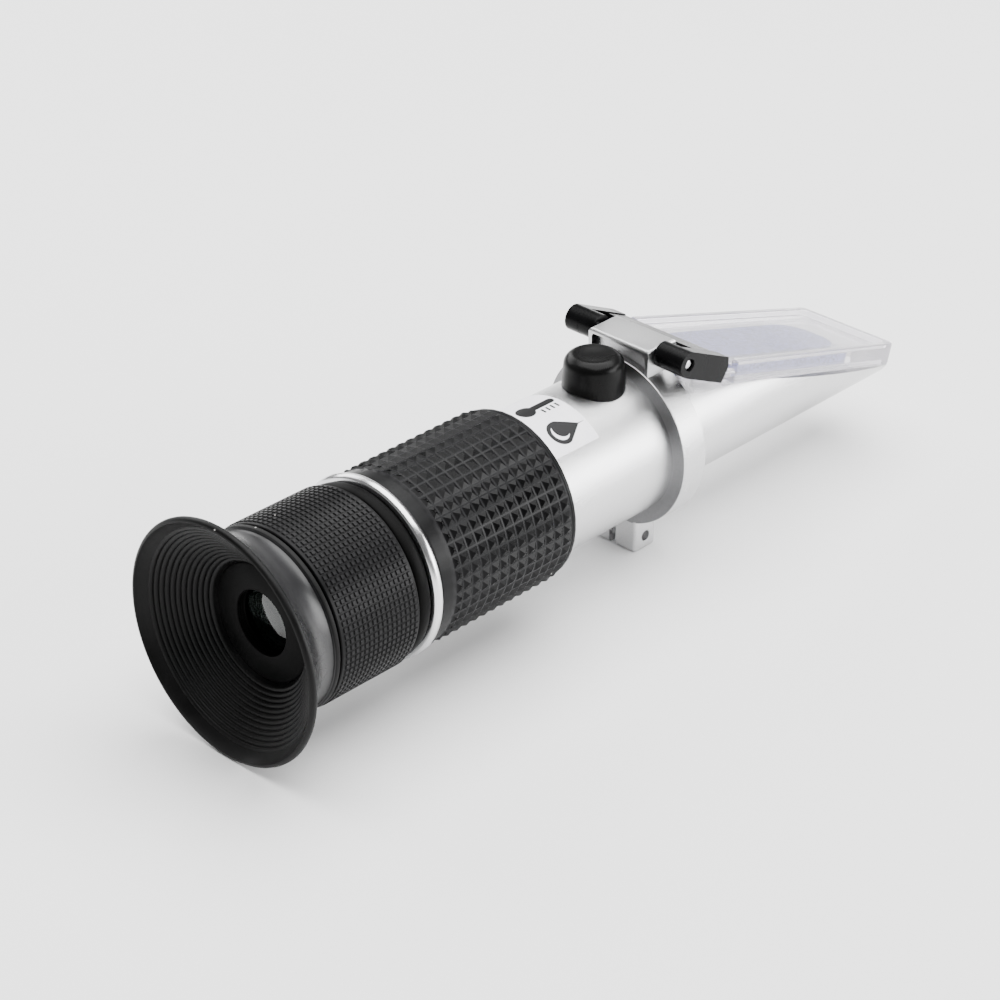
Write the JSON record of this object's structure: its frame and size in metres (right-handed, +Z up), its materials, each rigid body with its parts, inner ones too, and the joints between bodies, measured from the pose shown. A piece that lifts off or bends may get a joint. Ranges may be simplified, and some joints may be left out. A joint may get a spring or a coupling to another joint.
{
  "type": "refractometer",
  "caption": "Handheld refractometer: flared eyecup, knurled focus sleeve, ribbed grip, metal tube, and a hinged clear plate over a slanted prism.",
  "frame": {"origin": "middle of the length and width, on the surface that the eyecup's rim and the clamp lug rest on", "axes": "+X along the optical axis from the eyecup towards the prism, +Y to the left, +Z up through the calibration cap and the hinge block"},
  "size_m": [0.16, 0.0428, 0.0428],
  "materials": {
    "soft_black": "soft matt moulded rubber",
    "moulded_black": "black moulded or blackened turned part",
    "hinge_black": "glossy black moulding",
    "satin_metal": "fine bead-blasted and anodised",
    "bright_metal": "polished",
    "steel": "turned steel",
    "brass": "turned brass",
    "bimetal": "rolled strip of two metals",
    "clear": "clear moulding with a faint violet tint",
    "frosted": "fine frosted, pale blue-violet",
    "glass": "polished optical glass",
    "label": "white vinyl sticker, satin",
    "pale_seal": "pale silicone",
    "nylon": "natural nylon"
  },
  "bodies": {
    "tube": {"body_tube": "satin_metal", "grip_retaining_ring": "bright_metal", "grip_sleeve": "soft_black", "reticle_holder": "moulded_black", "reticle": "glass", "reticle_retaining_ring": "moulded_black", "stray_light_baffle": "moulded_black", "scale_label": "label", "strip_mount": "satin_metal", "strip_mount_screw": "steel", "strip_screw": "steel", "calibration_bush": "brass", "clamp_ring": "satin_metal", "clamp_screw": "steel", "hinge_pin": "steel", "prism_body": "satin_metal", "prism_set_screw_1": "steel", "prism_set_screw_2": "steel", "prism_set_screw_3": "steel", "front_o_ring": "soft_black", "main_prism": "glass", "prism_gasket": "pale_seal"},
    "focus_carrier": {"focus_o_ring": "soft_black"},
    "eyepiece": {"eyepiece_housing": "moulded_black", "eyecup": "soft_black", "focus_sleeve": "soft_black", "eye_lens": "glass", "lens_spacer": "moulded_black", "field_lens": "glass", "lens_retaining_ring": "moulded_black"},
    "objective": {"bimetal_strip": "bimetal", "objective_cell": "moulded_black", "objective_lens": "glass", "objective_retaining_ring": "moulded_black", "cell_screw": "steel"},
    "calibration_pusher": {"calibration_pusher": "nylon"},
    "calibration_screw": {"calibration_screw": "steel"},
    "cap": {"calibration_cap": "soft_black"},
    "cover": {"hinge_frame": "hinge_black", "daylight_plate": "clear", "diffuser_window": "frosted"}
  },
  "joints": [
    {"name": "focus_travel", "type": "slide", "parent": "tube", "child": "focus_carrier", "axis": [-1, 0, 0], "range_m": [0, 0.00375]},
    {"name": "focus_turn", "type": "hinge", "parent": "focus_carrier", "child": "eyepiece", "pos_m": [-0.0482, 0, 0.0214], "axis": [-1, 0, 0], "range_deg": [0, 450]},
    {"name": "calibration_travel", "type": "slide", "parent": "tube", "child": "calibration_pusher", "axis": [0, 0, 1], "range_m": [-0.0005, 0.0005]},
    {"name": "calibration_turn", "type": "hinge", "parent": "calibration_pusher", "child": "calibration_screw", "pos_m": [0.007, 0, 0.0378], "axis": [0, 0, 1], "range_deg": [-360, 360]},
    {"name": "objective_tilt", "type": "hinge", "parent": "tube", "child": "objective", "pos_m": [-0.0195, 0, 0.02835], "axis": [0, -1, 0], "range_deg": [-1.1, 1.1]},
    {"name": "cap_lift", "type": "slide", "parent": "tube", "child": "cap", "axis": [0, 0, 1], "range_m": [0, 0.014]},
    {"name": "cover_hinge", "type": "hinge", "parent": "tube", "child": "cover", "pos_m": [0.0166, 0, 0.0396], "axis": [0, -1, 0], "range_deg": [0, 115]}
  ],
  "couplings": [
    {"joint": "focus_travel", "follows": "focus_turn", "m_per_rad": 0.00047746},
    {"joint": "calibration_travel", "follows": "calibration_turn", "m_per_rad": 0.000079577},
    {"joint": "objective_tilt", "follows": "calibration_turn", "ratio": 0.0030029}
  ]
}
